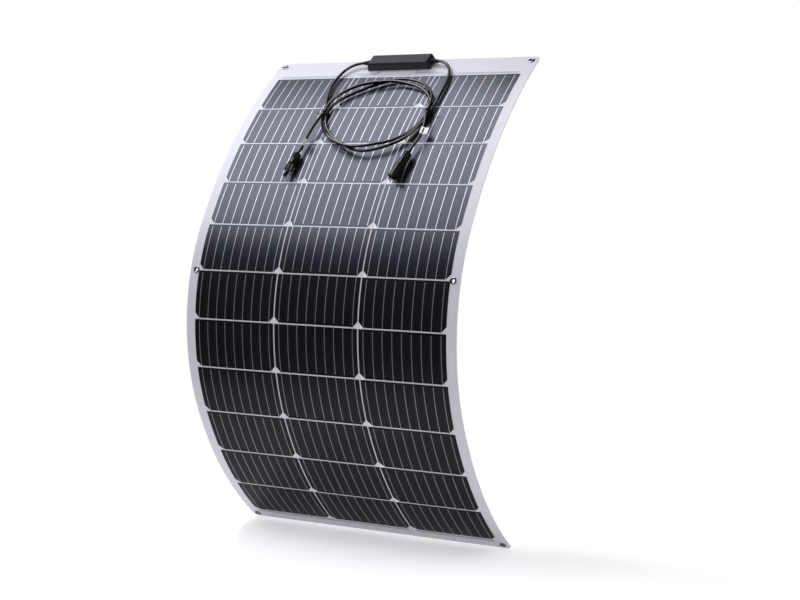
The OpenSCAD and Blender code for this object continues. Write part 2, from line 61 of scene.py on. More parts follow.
# --- Camera ----------------------------------------------------------------
# A long lens at chest height, turned to the sheet's right and a little above
# its middle.
TURN = math.radians(30.4)
RISE = math.radians(5.06)
back = Vector((math.sin(TURN) * math.cos(RISE), -math.cos(TURN) * math.cos(RISE), math.sin(RISE)))
right = Vector((math.cos(TURN), math.sin(TURN), 0))
up = back.cross(right)
camera = bpy.data.objects.new("camera", bpy.data.cameras.new("camera"))
scene.collection.objects.link(camera)
camera.data.lens = 76
camera.data.sensor_width = 36
camera.data.clip_end = 30
camera.matrix_world = Matrix.Translation(back * 2.844 + right * 0.135 - up * 0.042) @ Matrix(
    (right, up, back)
).transposed().to_4x4()
scene.camera = camera


# --- The bend ----------------------------------------------------------------
# The sheet is springy, so it stands as a curve of three arcs. A place on it is
# u across, s down from the middle eyelets and h out from the rear face, in mm.
LEAN = math.radians(15.5)
RADII = (850, 380, 560)
JOINS = (-85.5, 256.5)  # the arcs meet under the fourth and the eighth row


def facing(slant):
    """The way out of the sheet's front where it leans back by -slant."""
    return Vector((0, -math.cos(slant), -math.sin(slant)))


join_slant = [-LEAN + s / RADII[1] for s in JOINS]
middle = -RADII[1] * facing(-LEAN)
centres = [
    middle + (RADII[1] - RADII[0]) * facing(join_slant[0]),
    middle,
    middle + (RADII[1] - RADII[2]) * facing(join_slant[1]),
]


def slant_at(s):
    """Which arc a place lies on, and the slant there."""
    if s < JOINS[0]:
        return 0, join_slant[0] + (s - JOINS[0]) / RADII[0]
    if s < JOINS[1]:
        return 1, -LEAN + s / RADII[1]
    return 2, join_slant[1] + (s - JOINS[1]) / RADII[2]


def place(u, s, h=0.0):
    """A place on the sheet, in metres."""
    arc, slant = slant_at(s)
    point = centres[arc] + (RADII[arc] + h) * facing(slant)
    return Vector((u, point.y, point.z)) * mm


def frame_at(u, s, h=0.0):
    """The frame of a place: x across the sheet, y up it and z out of it."""
    out = facing(slant_at(s)[1])
    across = Vector((1, 0, 0))
    turned = Matrix((across, out.cross(across), out)).transposed().to_4x4()
    return Matrix.Translation(place(u, s, h)) @ turned


# --- Leads -------------------------------------------------------------------
# Two double-insulated solar cables, 5.5 mm across, in a smooth black
# cross-linked jacket. Each runs from its end of the box once round the loop,
# through both ties and out to its connector.
LEAD_MM = 5.5
LEFT_ROUTE = [
    (-60, -460, 10), (-80, -460, 10), (-97, -455, 9), (-109, -442, 8), (-115, -424, 7),
    (-117, -402, 7), (-114, -380, 7), (-109, -359, 7), (-103, -340, 7), (-98, -322, 7),
    (-93, -303, 8), (-79, -281, 12), (-59, -261, 16), (-34, -246, 18), (-6, -237, 19),
    (20, -237, 19), (44, -242, 18), (67, -250, 15), (87, -264, 12), (101, -283, 9),
    (109, -303, 7), (113, -322, 7), (110, -342, 7), (101, -361, 7), (86, -377, 7),
    (66, -389, 8), (43, -397, 9), (18, -402, 10), (-7, -400, 12), (-31, -396, 13),
    (-54, -387, 14), (-74, -372, 14), (-88, -354, 14), (-95, -337, 13), (-95, -322, 13),
    (-98, -301, 15), (-102, -281, 14), (-106, -261, 12), (-108, -240, 11), (-112, -217, 11),
]
RIGHT_ROUTE = [
    (60, -460, 10), (80, -460, 10), (95, -453, 9), (107, -440, 8), (115, -421, 7),
    (119, -400, 7), (120, -379, 7), (120, -359, 7), (120, -340, 7), (119, -322, 7),
    (115, -301, 8), (106, -280, 10), (93, -260, 11), (73, -245, 13), (50, -236, 13),
    (26, -231, 13), (2, -234, 13), (-20, -244, 12), (-42, -256, 11), (-62, -271, 9),
    (-77, -287, 7), (-87, -304, 7), (-92, -322, 7), (-90, -340, 7), (-80, -357, 7),
    (-64, -372, 7), (-45, -385, 7), (-24, -397, 7), (0, -407, 7), (24, -411, 8),
    (48, -406, 9), (71, -397, 10), (91, -383, 11), (106, -364, 12), (114, -343, 13),
    (116, -322, 13), (121, -302, 15), (125, -283, 15), (125, -262, 14), (118, -240, 13), (113, -218, 13),
]


def srgb(code):
    """A hex colour as the linear one that a shader takes."""
    parts = [int(code[i : i + 2], 16) / 255 for i in (1, 3, 5)]
    return [p / 12.92 if p <= 0.04045 else ((p + 0.055) / 1.055) ** 2.4 for p in parts] + [1]


def add(mat, kind, links=None, **settings):
    """A node in a material, with its settings and its inputs' values or links."""
    made = mat.node_tree.nodes.new(kind)
    for name, value in settings.items():
        setattr(made, name, value)
    for name, value in (links or {}).items():
        if isinstance(value, bpy.types.NodeSocket):
            mat.node_tree.links.new(value, made.inputs[name])
        else:
            made.inputs[name].default_value = value
    return made


def start(name, colour, roughness, **sockets):
    """A new material, its shader and the link that a node's output goes in by."""
    mat = bpy.data.materials.new(name)
    mat.use_nodes = True
    shader = mat.node_tree.nodes["Principled BSDF"]
    shader.inputs["Base Color"].default_value = srgb(colour)
    shader.inputs["Roughness"].default_value = roughness
    for socket, value in sockets.items():
        shader.inputs[socket.replace("_", " ")].default_value = value
    return mat, shader


def feed(mat, shader, **outputs):
    """Links outputs to a shader's sockets."""
    for socket, output in outputs.items():
        mat.node_tree.links.new(output, shader.inputs[socket.replace("_", " ")])


# Extruded cross-linked polyolefin: smooth and glossy, with the faint lengthwise
# waver that the die leaves and a little dust that dulls it here and there.
jacket, shader = start(
    "cable_jacket", "#0b0b0c", 0.2, IOR=1.55, Coat_Weight=1.0, Coat_Roughness=0.12, Coat_IOR=1.6
)
where = add(jacket, "ShaderNodeTexCoord").outputs["Object"]
dust = add(jacket, "ShaderNodeTexNoise", {"Vector": where, "Scale": 1 / (14 * mm), "Detail": 4.0})
dull = add(jacket, "ShaderNodeMapRange", {"Value": dust.outputs["Fac"], "To Min": 0.12, "To Max": 0.26})
waver = add(jacket, "ShaderNodeTexNoise", {"Vector": where, "Scale": 1 / (2.5 * mm), "Detail": 2.0})
skin = add(
    jacket,
    "ShaderNodeBump",
    {"Height": waver.outputs["Fac"], "Strength": 0.12, "Distance": 0.1 * mm},
)
feed(jacket, shader, Roughness=dull.outputs["Result"], Normal=skin.outputs["Normal"])


def cable(name, route, width_mm, mat):
    """A round cable along places on the sheet, as one open curve."""
    curve = bpy.data.curves.new(name, "CURVE")
    curve.dimensions = "3D"
    curve.bevel_depth = width_mm / 2 * mm
    curve.bevel_resolution = 6
    curve.resolution_u = 6
    curve.use_fill_caps = True
    line = curve.splines.new("BEZIER")
    line.bezier_points.add(len(route) - 1)
    for knot, spot in zip(line.bezier_points, route):
        knot.co = place(*spot)
        knot.handle_left_type = knot.handle_right_type = "AUTO"
    curve.materials.append(mat)
    made = bpy.data.objects.new(name, curve)
    scene.collection.objects.link(made)
    return made


cable_left = cable("lead_left", LEFT_ROUTE, LEAD_MM, jacket)
cable_right = cable("lead_right", RIGHT_ROUTE, LEAD_MM, jacket)
for lead, node in ((cable_left, "cable_left"), (cable_right, "cable_right")):
    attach(lead, "sheet")
    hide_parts(node)


# --- Laminate ------------------------------------------------------------------
# A fibreglass backsheet, a white and a clear layer of encapsulant with the
# cells between them, and a clear fluoropolymer film, pressed hot into one
# springy sheet 2.5 mm thick with round corners.
SHEET_W = 540
S_TOP = -478.25
S_BOTTOM = 541.75
CORNER_R = 10
H_BACK = 1.2  # backsheet's front
H_WHITE = 1.55  # white encapsulant's front
H_CELL = 1.70
H_CELL_FRONT = 1.88
H_RIBBON_FRONT = 2.03
H_CLEAR = 2.40  # clear encapsulant's front
H_FRONT = 2.50
EYELET_U = 257
EYELET_S = (-465.25, 0, 528.75)
EYELET_R = 3.5
STATION = 5.7  # between the folds of the drawn curve


def stations(s0, s1):
    """Places from s0 to s1, about a station apart."""
    count = max(1, math.ceil((s1 - s0) / STATION))
    return [s0 + (s1 - s0) * i / count for i in range(count + 1)]


def add_slab(bm, uv, sections, h0, h1):
    """Adds a closed slab of the laminate: sections are (s, u0, u1) down it."""
    rings = []
    for s, u0, u1 in sections:
        corners = ((u0, h0), (u1, h0), (u1, h1), (u0, h1))
        rings.append([(bm.verts.new(place(u, s, h)), u, s) for u, h in corners])
    faces = [[rings[0][k] for k in range(4)], [rings[-1][k] for k in (3, 2, 1, 0)]]
    for upper, lower in zip(rings, rings[1:]):
        faces += [[upper[k], lower[k], lower[(k + 1) % 4], upper[(k + 1) % 4]] for k in range(4)]
    for corners in faces:
        face = bm.faces.new([v for v, _, _ in reversed(corners)])
        for loop, (_, u, s) in zip(face.loops, reversed(corners)):
            loop[uv].uv = (u * mm, s * mm)


def keep_sharp(mesh, degrees=30):
    """Shades a mesh smooth but for its edges."""
    bm = bmesh.new()
    bm.from_mesh(mesh)
    limit = math.radians(degrees)
    for edge in bm.edges:
        edge.smooth = len(edge.link_faces) != 2 or edge.calc_face_angle(0) < limit
    for face in bm.faces:
        face.smooth = True
    bm.to_mesh(mesh)
    bm.free()


def finish_mesh(name, bm, *mats):
    """Turns a bmesh into an object with these materials."""
    mesh = bpy.data.meshes.new(name)
    bmesh.ops.recalc_face_normals(bm, faces=bm.faces)
    bm.to_mesh(mesh)
    bm.free()
    keep_sharp(mesh)
    for mat in mats:
        mesh.materials.append(mat)
    made = bpy.data.objects.new(name, mesh)
    scene.collection.objects.link(made)
    return made


def slab_piece(name, slabs, mat):
    """One object of several bent slabs, each (sections, h0, h1)."""
    bm = bmesh.new()
    uv = bm.loops.layers.uv.new("sheet")
    for sections, h0, h1 in slabs:
        add_slab(bm, uv, sections, h0, h1)
    return finish_mesh(name, bm, mat)


def sheet_outline():
    """The whole sheet's sections, with round corners."""
    turns = [CORNER_R * (1 - math.cos(math.pi / 2 * i / 8)) for i in range(1, 8)]
    places = sorted(
        set(stations(S_TOP + CORNER_R, S_BOTTOM - CORNER_R))
        | {S_TOP + t for t in [0.02] + turns}
        | {S_BOTTOM - t for t in [0.02] + turns}
    )
    sections = []
    for s in places:
        depth = min(CORNER_R, s - S_TOP, S_BOTTOM - s)
        half = SHEET_W / 2 - CORNER_R + math.sqrt(CORNER_R**2 - (CORNER_R - depth) ** 2)
        sections.append((s, -half, half))
    return sections


punches = []
for s in EYELET_S:
    for side in (-1, 1):
        bpy.ops.mesh.primitive_cylinder_add(vertices=32, radius=EYELET_R * mm, depth=12 * mm)
        punch = bpy.context.object
        punch.matrix_world = frame_at(side * EYELET_U, s, 1)
        punches.append(punch)
for punch in punches:
    punch.select_set(True)
bpy.context.view_layer.objects.active = punches[0]
bpy.ops.object.join()
punches = punches[0]


def layer(name, h0, h1, mat):
    """A whole layer of the laminate, punched for the eyelets."""
    made = slab_piece(name, [(sheet_outline(), h0, h1)], mat)
    cut = made.modifiers.new("eyelet holes", "BOOLEAN")
    cut.object = punches
    cut.solver = "EXACT"
    bpy.context.view_layer.objects.active = made
    bpy.ops.object.modifier_apply(modifier=cut.name)
    keep_sharp(made.data)
    return made


# Glass cloth in epoxy under a white gel coat: satin, with the plain weave's
# 1.6 mm squares faintly raised.
CLOTH_MM = 1.6
backsheet_mat, shader = start("fibreglass_backsheet", "#dfe0e4", 0.42, IOR=1.5)
along = add(backsheet_mat, "ShaderNodeUVMap", uv_map="sheet").outputs["UV"]
weave = [
    add(
        backsheet_mat,
        "ShaderNodeTexWave",
        {"Vector": along, "Scale": 2 * math.pi / (20 * CLOTH_MM * mm)},
        bands_direction=direction,
    ).outputs["Fac"]
    for direction in ("X", "Y")
]
cloth = add(backsheet_mat, "ShaderNodeMath", {0: weave[0], 1: weave[1]}, operation="MULTIPLY")
cloth_bump = add(
    backsheet_mat,
    "ShaderNodeBump",
    {"Height": cloth.outputs["Value"], "Strength": 0.25, "Distance": 0.08 * mm},
)
cloud = add(
    backsheet_mat,
    "ShaderNodeTexNoise",
    {"Vector": along, "Scale": 1 / (60 * mm), "Detail": 5.0},
)
tone = add(
    backsheet_mat,
    "ShaderNodeMix",
    {"Factor": cloud.outputs["Fac"], "A": srgb("#d9dadf"), "B": srgb("#e6e7ea")},
    data_type="RGBA",
)
feed(backsheet_mat, shader, Normal=cloth_bump.outputs["Normal"], Base_Color=tone.outputs[2])

# White encapsulant seen through the clear film: a bright, cool white whose
# only gloss is the film's own, over it.
FILM_GLOSS = 0.3
DIMPLE_MM = 1.8  # the film's embossing, drawn coarse enough to show
white_mat, shader = start(
    "white_encapsulant", "#d2d2da", 0.6, IOR=1.48, Coat_Weight=1.0, Coat_Roughness=FILM_GLOSS, Coat_IOR=1.42
)
along = add(white_mat, "ShaderNodeUVMap", uv_map="sheet").outputs["UV"]
dimples = add(
    white_mat,
    "ShaderNodeTexNoise",
    {"Vector": along, "Scale": 1 / (DIMPLE_MM * mm), "Detail": 2.0},
)
dimple_bump = add(
    white_mat, "ShaderNodeBump", {"Height": dimples.outputs["Fac"], "Strength": 0.15, "Distance": 0.1 * mm}
)
feed(white_mat, shader, Coat_Normal=dimple_bump.outputs["Normal"])

# Clear fluoropolymer film, 0.1 mm thick: almost nothing of it shows by itself.
film_mat, shader = start("clear_film", "#8c8d96", 0.3, IOR=1.42, Alpha=0.008)

backsheet = layer("fibreglass_backsheet", 0, H_BACK, backsheet_mat)
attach(backsheet, "sheet")
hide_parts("backsheet")

white_layer = layer("white_encapsulant", H_BACK, H_WHITE, white_mat)
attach(white_layer, "sheet")
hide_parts("rear_encapsulant", "front_encapsulant")

film = layer("clear_film", H_CLEAR, H_FRONT, film_mat)
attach(film, "sheet")
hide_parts("front_film")
bpy.data.objects.remove(punches)


# --- Cells ---------------------------------------------------------------------
# Monocrystalline silicon wafers cut in half, so only the two lower corners
# are chamfered. Each is 166 by 83 mm and 0.18 mm thick.
CELL_W = 166
CELL_H = 83
CELL_GAP = 2.5
CHAMFER = 9
COLUMNS = 3
ROWS = 11
PITCH_U = CELL_W + CELL_GAP
PITCH_S = CELL_H + CELL_GAP
CELLS_TOP = -426.25
CELLS_BOTTOM = CELLS_TOP + ROWS * PITCH_S - CELL_GAP

# Textured silicon under a dark blue anti-reflective coating, with printed
# silver fingers too fine to tell apart: they are drawn 2.6 mm apart, where the
# real ones are 1.5. The film over it gives the broad soft reflection.
FINGER_MM = 2.6
silicon, shader = start(
    "silicon_cell",
    "#05060c",
    0.36,
    IOR=1.5,
    Specular_Tint=srgb("#c9d0ff"),
    Coat_Weight=1.0,
    Coat_Roughness=FILM_GLOSS,
    Coat_IOR=1.45,
)
along = add(silicon, "ShaderNodeUVMap", uv_map="sheet").outputs["UV"]
split = add(silicon, "ShaderNodeSeparateXYZ", {"Vector": along})
down = add(
    silicon,
    "ShaderNodeMath",
    {0: split.outputs["Y"], 1: 1 / (FINGER_MM * mm)},
    operation="MULTIPLY",
)
ridge = add(silicon, "ShaderNodeMath", {0: down.outputs["Value"], 1: 1.0}, operation="PINGPONG")
finger = add(
    silicon,
    "ShaderNodeMapRange",
    {"Value": ridge.outputs["Value"], "From Min": 0.8, "From Max": 0.95},
)
grain = add(silicon, "ShaderNodeTexNoise", {"Vector": along, "Scale": 1 / (3 * mm), "Detail": 3.0})
wafer = add(
    silicon,
    "ShaderNodeMix",
    {"Factor": grain.outputs["Fac"], "A": srgb("#04050a"), "B": srgb("#090b14")},
    data_type="RGBA",
)
printed = add(
    silicon,
    "ShaderNodeMix",
    {"Factor": finger.outputs["Result"], "A": wafer.outputs[2], "B": srgb("#141722")},
    data_type="RGBA",
)
dimples = add(
    silicon,
    "ShaderNodeTexNoise",
    {"Vector": along, "Scale": 1 / (DIMPLE_MM * mm), "Detail": 2.0},
)
dimple_bump = add(
    silicon, "ShaderNodeBump", {"Height": dimples.outputs["Fac"], "Strength": 0.3, "Distance": 0.1 * mm}
)
feed(silicon, shader, Base_Color=printed.outputs[2], Coat_Normal=dimple_bump.outputs["Normal"])


def column_u(column):
    return (column - (COLUMNS - 1) / 2) * PITCH_U


def cell_sections(column, row):
    """A cell's sections, narrowing over the chamfers at its lower end."""
    top = CELLS_TOP + row * PITCH_S
    centre, half = column_u(column), CELL_W / 2
    sections = [(s, centre - half, centre + half) for s in stations(top, top + CELL_H - CHAMFER)]
    cut = half - CHAMFER
    return sections + [(top + CELL_H, centre - cut, centre + cut)]


strings = ("left", "middle", "right")
for column, side in enumerate(strings):
    slabs = [(cell_sections(column, row), H_CELL, H_CELL_FRONT) for row in range(ROWS)]
    cells = slab_piece("cells_in_string_" + side, slabs, silicon)
    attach(cells, "sheet")
    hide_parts("cells_" + side)


# --- Cell ribbons ----------------------------------------------------------------
# Flat copper wire dipped in solder. Nine to a cell, each runs down the front of
# one cell and behind the next; the middle string runs the other way up.
RIBBONS = 9
RIBBON_W = 1.2
RIBBON_BARE = 3.5
BUS_GAP = 4
BUS_W = 4

# Solder-dipped copper: dull silver, with the slow ripple of the dip.
tinned, shader = start(
    "tinned_ribbon", "#d6d7de", 0.38, Metallic=0.75, Coat_Weight=1.0, Coat_Roughness=FILM_GLOSS
)
where = add(tinned, "ShaderNodeTexCoord").outputs["Object"]
ripple = add(tinned, "ShaderNodeTexNoise", {"Vector": where, "Scale": 1 / (4 * mm), "Detail": 2.0})
ripple_bump = add(
    tinned, "ShaderNodeBump", {"Height": ripple.outputs["Fac"], "Strength": 0.3, "Distance": 0.2 * mm}
)
dip = add(tinned, "ShaderNodeMapRange", {"Value": ripple.outputs["Fac"], "To Min": 0.28, "To Max": 0.5})
feed(tinned, shader, Normal=ripple_bump.outputs["Normal"], Roughness=dip.outputs["Result"])


def ribbon_runs(row):
    """A ribbon's run on one cell's front and its run behind the next."""
    low = CELLS_TOP + row * PITCH_S + CELL_H
    runs = []
    if row >= 0:
        end = CELLS_BOTTOM + BUS_GAP + BUS_W if row == ROWS - 1 else low + 0.45 * CELL_GAP
        runs.append((low - CELL_H + RIBBON_BARE, end, H_CELL_FRONT, H_RIBBON_FRONT))
    if row < ROWS - 1:
        begin = CELLS_TOP - BUS_GAP - BUS_W if row < 0 else low + 0.55 * CELL_GAP
        runs.append((begin, low + PITCH_S - RIBBON_BARE, H_WHITE, H_CELL))
    return runs


for column, side in enumerate(strings):
    slabs = []
    for row in range(-1, ROWS):
        for s0, s1, h0, h1 in ribbon_runs(row):
            if column == 1:
                s0, s1 = CELLS_TOP + CELLS_BOTTOM - s1, CELLS_TOP + CELLS_BOTTOM - s0
            for n in range(RIBBONS):
                u = column_u(column) + ((n + 0.5) / RIBBONS - 0.5) * CELL_W
                sections = [(s, u - RIBBON_W / 2, u + RIBBON_W / 2) for s in stations(s0, s1)]
                slabs.append((sections, h0, h1))
    ribbons = slab_piece("ribbons_on_string_" + side, slabs, tinned)
    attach(ribbons, "sheet")
    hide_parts("ribbons_" + side)


# --- Bus ribbons -------------------------------------------------------------------
# Wider tinned ribbons that join the strings above and below the cells, the
# return that runs behind the cells to the box, and the strip that insulates it.
def paint(node, mat):
    """Gives a carried-over node its finish."""
    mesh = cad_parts[node].data
    mesh.materials.clear()
    mesh.materials.append(mat)


# The same tin seen through the white layer's haze, so it looks a dull grey.
bus_tin, shader = start(
    "tinned_bus", "#b9bac4", 0.45, Metallic=0.35, Coat_Weight=1.0, Coat_Roughness=FILM_GLOSS
)
where = add(bus_tin, "ShaderNodeTexCoord").outputs["Object"]
ripple = add(bus_tin, "ShaderNodeTexNoise", {"Vector": where, "Scale": 1 / (6 * mm), "Detail": 2.0})
ripple_bump = add(
    bus_tin, "ShaderNodeBump", {"Height": ripple.outputs["Fac"], "Strength": 0.2, "Distance": 0.2 * mm}
)
feed(bus_tin, shader, Normal=ripple_bump.outputs["Normal"])
for node in ("bus_top_left", "bus_top_right", "bus_bottom_left", "bus_bottom_right", "return_ribbon"):
    paint(node, bus_tin)

# Polyester strip: ivory and matt.
polyester, shader = start("polyester_strip", "#ececef", 0.6, IOR=1.57)
where = add(polyester, "ShaderNodeTexCoord").outputs["Object"]
mottle = add(polyester, "ShaderNodeTexNoise", {"Vector": where, "Scale": 1 / (8 * mm)})
haze = add(
    polyester,
    "ShaderNodeMapRange",
    {"Value": mottle.outputs["Fac"], "To Min": 0.5, "To Max": 0.7},
)
feed(polyester, shader, Roughness=haze.outputs["Result"])
paint("insulation_strip", polyester)


# --- Eyelets -----------------------------------------------------------------------
# Brass eyelets, nickel plated: a barrel pressed through the sheet, with a
# rolled flange in front and a flat washer that it is set over behind.
FLANGE_R = 6
BORE_R = 3
FLANGE_T = 0.8


def spin(bm, profile, matrix, sides=64, radius_of=None, closed=True):
    """Turns a profile of (r, z) in mm round z, and joins it up.
    radius_of(r, z, angle) may change the radius for flutes and flats."""
    rings = []
    for r, z in profile:
        ring = []
        for k in range(sides):
            angle = 2 * math.pi * k / sides
            radius = radius_of(r, z, angle) if radius_of else r
            spot = Vector((radius * math.cos(angle), radius * math.sin(angle), z)) * mm
            ring.append(bm.verts.new(matrix @ spot))
        rings.append(ring)
    pairs = list(zip(rings, rings[1:]))
    if closed:
        pairs.append((rings[-1], rings[0]))
    for lower, upper in pairs:
        for k in range(sides):
            n = (k + 1) % sides
            bm.faces.new((lower[k], lower[n], upper[n], upper[k]))
    if not closed:
        bm.faces.new(rings[0][::-1])
        bm.faces.new(rings[-1])


def rounded(points, radius, steps=4):
    """A closed run of (r, z) with all its corners rounded, the first and last as well."""
    out = []
    count = len(points)
    for i, corner in enumerate(points):
        before, after = Vector(points[i - 1]), Vector(points[(i + 1) % count])
        corner = Vector(corner)
        reach = min(radius, (before - corner).length * 0.45, (after - corner).length * 0.45)
        a = corner + (before - corner).normalized() * reach
        b = corner + (after - corner).normalized() * reach
        for k in range(steps + 1):
            t = k / steps
            out.append(tuple(a * (1 - t) ** 2 + corner * 2 * t * (1 - t) + b * t**2))
    return out


# Bright nickel plate: near mirror, hazed by fine handling scratches.
nickel, shader = start("nickel_plate", "#c9cbd0", 0.16, Metallic=1.0)
where = add(nickel, "ShaderNodeTexCoord").outputs["Object"]
scratch = add(nickel, "ShaderNodeTexNoise", {"Vector": where, "Scale": 1 / (0.8 * mm), "Detail": 5.0})
haze = add(nickel, "ShaderNodeMapRange", {"Value": scratch.outputs["Fac"], "To Min": 0.1, "To Max": 0.3})
feed(nickel, shader, Roughness=haze.outputs["Result"])

flange_profile = [
    (BORE_R, -0.5), (EYELET_R, -0.5), (EYELET_R, H_FRONT), (FLANGE_R, H_FRONT),
    (FLANGE_R - 0.15, H_FRONT + 0.45 * FLANGE_T), (FLANGE_R - 1, H_FRONT + FLANGE_T),
    (BORE_R + 1.1, H_FRONT + FLANGE_T), (BORE_R + 0.3, H_FRONT + 0.55 * FLANGE_T), (BORE_R, H_FRONT - 0.4),
]
bm = bmesh.new()
for s in EYELET_S:
    for side in (-1, 1):
        spin(bm, rounded(flange_profile, 0.35), frame_at(side * EYELET_U, s), sides=48)
eyelets = finish_mesh("rolled_eyelets", bm, nickel)
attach(eyelets, "sheet")
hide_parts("eyelets")
paint("eyelet_washers", nickel)


# --- Junction box --------------------------------------------------------------------
# A slim box in black flame-retarded plastic, glued under the top edge on a foam
# pad. The base holds the terminals and the diode in potting, and the lid is
# glued on; both lean in at the ends.
BOX_L = 130
BOX_D = 27
BOX_T = 15
BOX_SLOPE = 4
LID_T = 2
PAD_T = 0.6
BOX_S = S_TOP + 5 + BOX_D / 2
on_box = frame_at(0, BOX_S, H_FRONT + PAD_T)

# Moulded PPO: charcoal black, spark-eroded to a fine even grain.
GRAIN_MM = 0.5
moulded, shader = start("moulded_box", "#2a2b32", 0.38, IOR=1.55)
where = add(moulded, "ShaderNodeTexCoord").outputs["Object"]
grain = add(
    moulded,
    "ShaderNodeTexNoise",
    {"Vector": where, "Scale": 1 / (GRAIN_MM * mm), "Detail": 3.0},
)
grain_bump = add(
    moulded, "ShaderNodeBump", {"Height": grain.outputs["Fac"], "Strength": 0.35, "Distance": 0.05 * mm}
)
flow = add(moulded, "ShaderNodeTexNoise", {"Vector": where, "Scale": 1 / (25 * mm), "Detail": 3.0})
sheen = add(moulded, "ShaderNodeMapRange", {"Value": flow.outputs["Fac"], "To Min": 0.34, "To Max": 0.5})
feed(moulded, shader, Normal=grain_bump.outputs["Normal"], Roughness=sheen.outputs["Result"])


def box_stage(z, inset=0.0):
    """Half length and half depth of the box at a height."""
    return BOX_L / 2 - inset - BOX_SLOPE * z / BOX_T, BOX_D / 2 - inset


def box_shell(name, rings, edge, mat):
    """A box of rectangles (half length, half depth, z), its edges rounded."""
    bm = bmesh.new()
    made = []
    for half_l, half_d, z in rings:
        corners = ((-half_l, -half_d), (half_l, -half_d), (half_l, half_d), (-half_l, half_d))
        made.append([bm.verts.new(on_box @ (Vector((x, y, z)) * mm)) for x, y in corners])
    for lower, upper in zip(made, made[1:]):
        for k in range(4):
            bm.faces.new((lower[k], lower[(k + 1) % 4], upper[(k + 1) % 4], upper[k]))
    bm.faces.new(made[0][::-1])
    bm.faces.new(made[-1])
    limit = math.radians(25)
    edges = [e for e in bm.edges if len(e.link_faces) == 2 and e.calc_face_angle(0) > limit]
    bmesh.ops.bevel(bm, geom=edges, offset=edge * mm, segments=4, profile=0.6, affect="EDGES")
    return finish_mesh(name, bm, mat)


seam = BOX_T - LID_T
base = box_shell(
    "box_base_moulding",
    [(*box_stage(0), 0), (*box_stage(seam - 0.35), seam - 0.35)],
    0.35,
    moulded,
)
lid = box_shell(
    "box_lid_moulding",
    [
        (*box_stage(seam - 0.3, 0.5), seam - 0.3),
        (*box_stage(seam, 0.5), seam),
        (*box_stage(seam), seam),
        (*box_stage(BOX_T - 1), BOX_T - 1),
        (*box_stage(BOX_T, 1), BOX_T),
    ],
    0.25,
    moulded,
)
for piece, node in ((base, "box_base"), (lid, "box_lid")):
    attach(piece, "sheet")
    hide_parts(node)

# Closed-cell foam pad, potting compound, brass, copper and the diode's epoxy,
# all inside or under the box.
foam, shader = start("foam_pad", "#1b1b1c", 0.9)
where = add(foam, "ShaderNodeTexCoord").outputs["Object"]
pores = add(foam, "ShaderNodeTexNoise", {"Vector": where, "Scale": 1 / (0.4 * mm)})
pore_bump = add(
    foam,
    "ShaderNodeBump",
    {"Height": pores.outputs["Fac"], "Strength": 0.6, "Distance": 0.1 * mm},
)
feed(foam, shader, Normal=pore_bump.outputs["Normal"])
paint("box_pad", foam)

potting, shader = start("silicone_potting", "#2c2c30", 0.35, IOR=1.41)
where = add(potting, "ShaderNodeTexCoord").outputs["Object"]
pool = add(potting, "ShaderNodeTexNoise", {"Vector": where, "Scale": 1 / (9 * mm)})
pool_bump = add(
    potting,
    "ShaderNodeBump",
    {"Height": pool.outputs["Fac"], "Strength": 0.3, "Distance": 0.3 * mm},
)
feed(potting, shader, Normal=pool_bump.outputs["Normal"])
paint("box_potting", potting)

brass, shader = start("stamped_brass", "#c9a457", 0.3, Metallic=1.0)
where = add(brass, "ShaderNodeTexCoord").outputs["Object"]
stain = add(brass, "ShaderNodeTexNoise", {"Vector": where, "Scale": 1 / (5 * mm), "Detail": 4.0})
haze = add(brass, "ShaderNodeMapRange", {"Value": stain.outputs["Fac"], "To Min": 0.22, "To Max": 0.45})
feed(brass, shader, Roughness=haze.outputs["Result"])
paint("box_terminals", brass)

copper, shader = start("bare_copper", "#c4764f", 0.35, Metallic=1.0)
where = add(copper, "ShaderNodeTexCoord").outputs["Object"]
strands = add(copper, "ShaderNodeTexWave", {"Vector": where, "Scale": 2 * math.pi / (20 * 0.3 * mm)})
strand_bump = add(
    copper,
    "ShaderNodeBump",
    {"Height": strands.outputs["Fac"], "Strength": 0.5, "Distance": 0.1 * mm},
)
feed(copper, shader, Normal=strand_bump.outputs["Normal"])
paint("cable_cores", copper)

epoxy, shader = start("diode_epoxy", "#18181a", 0.5)
where = add(epoxy, "ShaderNodeTexCoord").outputs["Object"]
filler = add(epoxy, "ShaderNodeTexNoise", {"Vector": where, "Scale": 1 / (0.3 * mm)})
filler_bump = add(
    epoxy,
    "ShaderNodeBump",
    {"Height": filler.outputs["Fac"], "Strength": 0.3, "Distance": 0.03 * mm},
)
feed(epoxy, shader, Normal=filler_bump.outputs["Normal"])
paint("bypass_diodes", epoxy)


# --- Strain relief boots ---------------------------------------------------------------
# Moulded rubber boots in the box's end walls: a neck through the wall and a
# ribbed taper outside it that the lead bends against.
BOOT_L = 12

# Moulded elastomer: soft black, nearly matt.
elastomer, shader = start("boot_elastomer", "#151516", 0.55, IOR=1.5)
where = add(elastomer, "ShaderNodeTexCoord").outputs["Object"]
bloom = add(elastomer, "ShaderNodeTexNoise", {"Vector": where, "Scale": 1 / (3 * mm), "Detail": 4.0})
haze = add(
    elastomer,
    "ShaderNodeMapRange",
    {"Value": bloom.outputs["Fac"], "To Min": 0.45, "To Max": 0.7},
)
feed(elastomer, shader, Roughness=haze.outputs["Result"])

